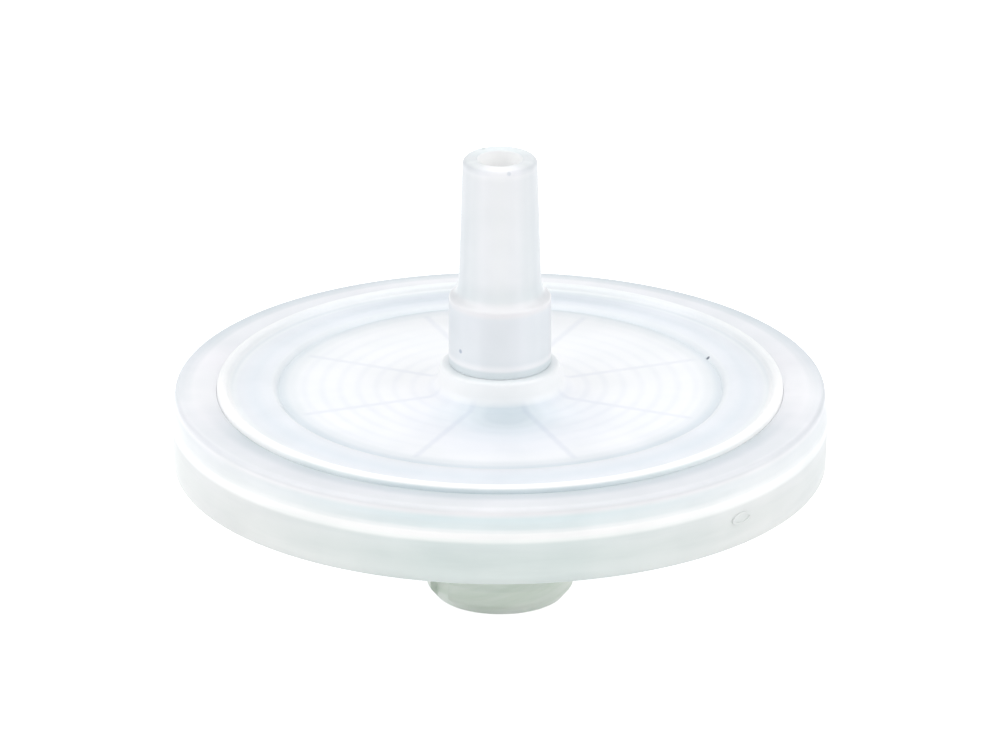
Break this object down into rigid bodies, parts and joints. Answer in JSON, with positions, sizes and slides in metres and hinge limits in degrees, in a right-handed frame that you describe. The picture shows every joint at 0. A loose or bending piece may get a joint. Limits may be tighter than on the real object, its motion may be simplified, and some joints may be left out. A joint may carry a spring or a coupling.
{
  "type": "syringe filter",
  "caption": "Disc-shaped syringe filter: a female lock hub on the inlet side, a membrane between two ribbed housings in a moulded rim, and a male slip cone at the outlet.",
  "frame": {"origin": "centre of the inlet hub's end face, which the filter stands on", "axes": "+Z along the flow axis, from the inlet hub to the outlet cone's tip; +X 70 degrees from the middle of a locking lug, so that the mouth's two gaps lie near +X and -X"},
  "size_m": [0.035, 0.035, 0.0248],
  "materials": {
    "inlet_hub": "natural polypropylene, moulded, thick enough to look grey-green",
    "inlet_housing": "natural polypropylene, moulded, milky and translucent",
    "membrane": "white microporous polyethersulfone, matt",
    "outlet_housing": "natural polypropylene, moulded, milky and translucent",
    "outlet_cone": "natural polypropylene, moulded, milky and translucent",
    "rim_ring": "natural polypropylene moulded around the housings, translucent"
  },
  "bodies": {
    "root": {"inlet_hub": "inlet_hub", "inlet_housing": "inlet_housing", "membrane": "membrane", "outlet_housing": "outlet_housing", "outlet_cone": "outlet_cone", "rim_ring": "rim_ring"}
  },
  "joints": []
}
